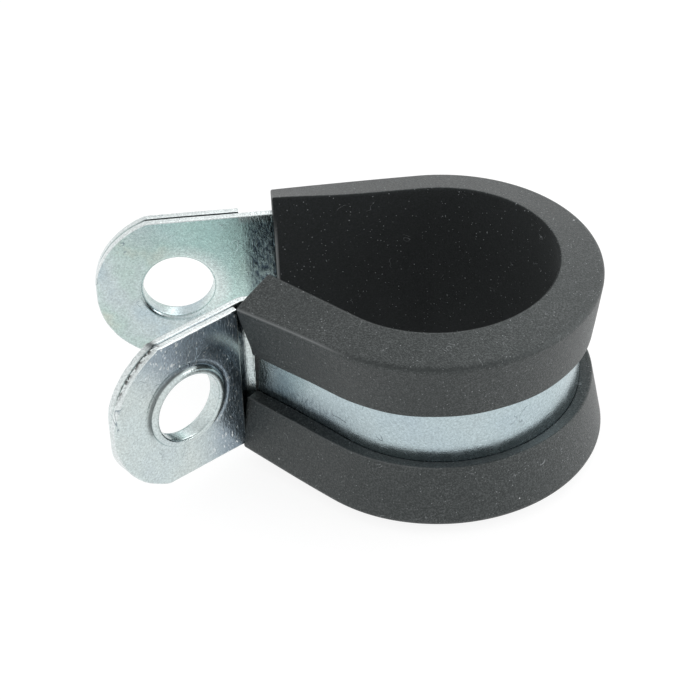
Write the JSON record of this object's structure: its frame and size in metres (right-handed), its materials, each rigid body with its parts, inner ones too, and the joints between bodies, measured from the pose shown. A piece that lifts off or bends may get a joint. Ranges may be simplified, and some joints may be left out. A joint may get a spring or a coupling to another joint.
{
  "type": "cushioned clamp",
  "caption": "Open steel band clamp in a black rubber liner, with folded ears and collared bolt holes, that holds a pipe or cable off a surface.",
  "frame": {"origin": "centre of the round bore, half way up the band's width", "axes": "+Z along the bore; the rear leg and rear ear run along -X, and the clamp lies on the liner's lower side"},
  "size_m": [0.036, 0.0234, 0.0156],
  "materials": {
    "zinc_plated_steel": "bright zinc plating over rolled strip, pale blue passivation",
    "epdm_rubber": "matt black extruded rubber with a fine bloom"
  },
  "bodies": {
    "root": {"steel_band": "zinc_plated_steel", "rubber_liner": "epdm_rubber"}
  },
  "joints": []
}
